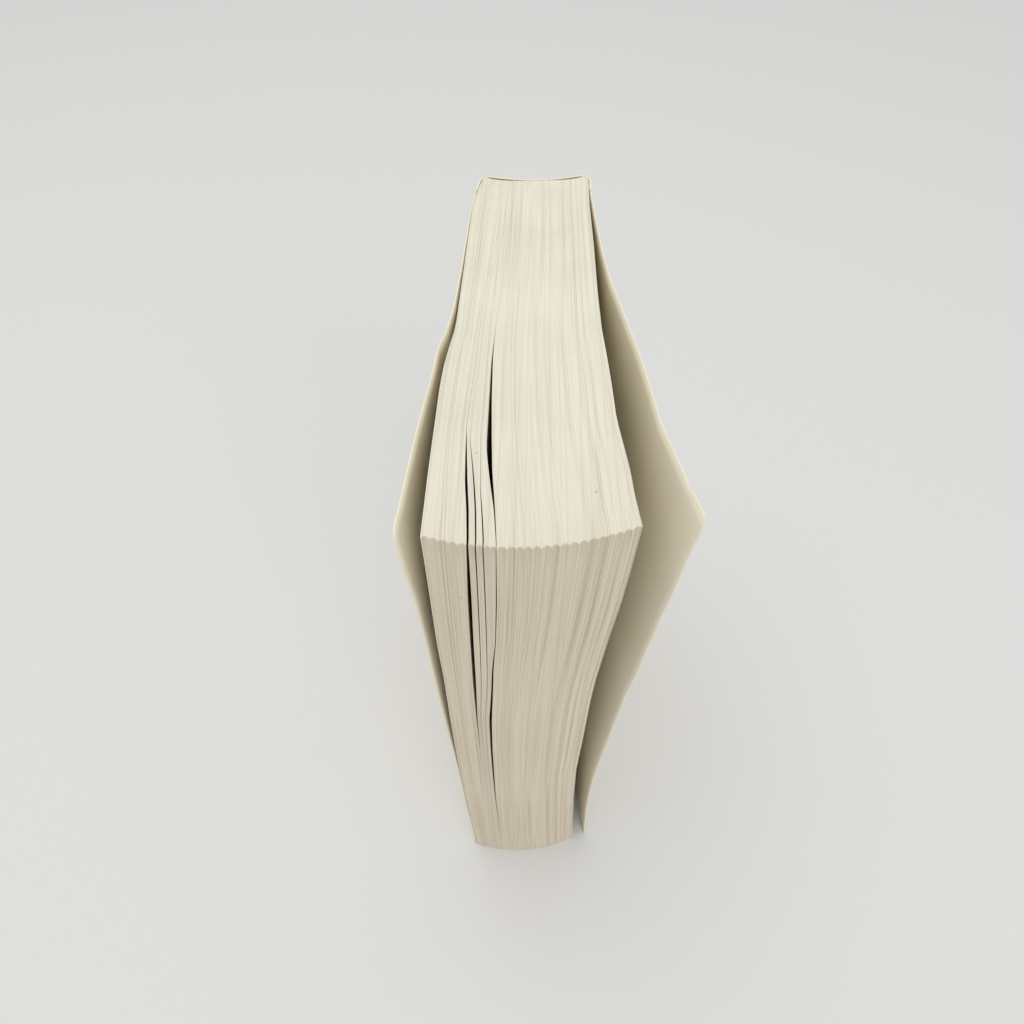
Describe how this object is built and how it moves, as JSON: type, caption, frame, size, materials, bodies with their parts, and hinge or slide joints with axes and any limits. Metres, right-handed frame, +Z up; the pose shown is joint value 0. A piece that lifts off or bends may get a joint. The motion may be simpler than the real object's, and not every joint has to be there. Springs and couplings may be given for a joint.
{
  "type": "paperback book",
  "caption": "Thick, well-read plain paperback standing on its tail: swollen pages in a glued spine, with curled card covers that open.",
  "frame": {"origin": "on the ground under the middle of the pages, on their tail face", "axes": "+Z up from tail to head, +Y from the fore-edge to the spine, +X through the pages from the front cover to the back cover"},
  "size_m": [0.0499, 0.1146, 0.178],
  "materials": {
    "pages": "matte, yellowed, trimmed edges",
    "glue": "dried hot-melt adhesive",
    "cover_card": "plain card, worn edges"
  },
  "bodies": {
    "book": {"text_block": "pages", "binding_glue": "glue", "spine_cover": "cover_card"},
    "front_cover": {"front_cover": "cover_card"},
    "back_cover": {"back_cover": "cover_card"}
  },
  "joints": [
    {"name": "front_cover_hinge", "type": "hinge", "parent": "book", "child": "front_cover", "pos_m": [-0.01502, 0.04825, 0], "axis": [0, 0, -1], "range_deg": [0, 175], "stiffness_Nm_per_rad": 0.005},
    {"name": "back_cover_hinge", "type": "hinge", "parent": "book", "child": "back_cover", "pos_m": [0.01332, 0.04965, 0], "axis": [0, 0, 1], "range_deg": [-1, 175], "stiffness_Nm_per_rad": 0.005}
  ]
}
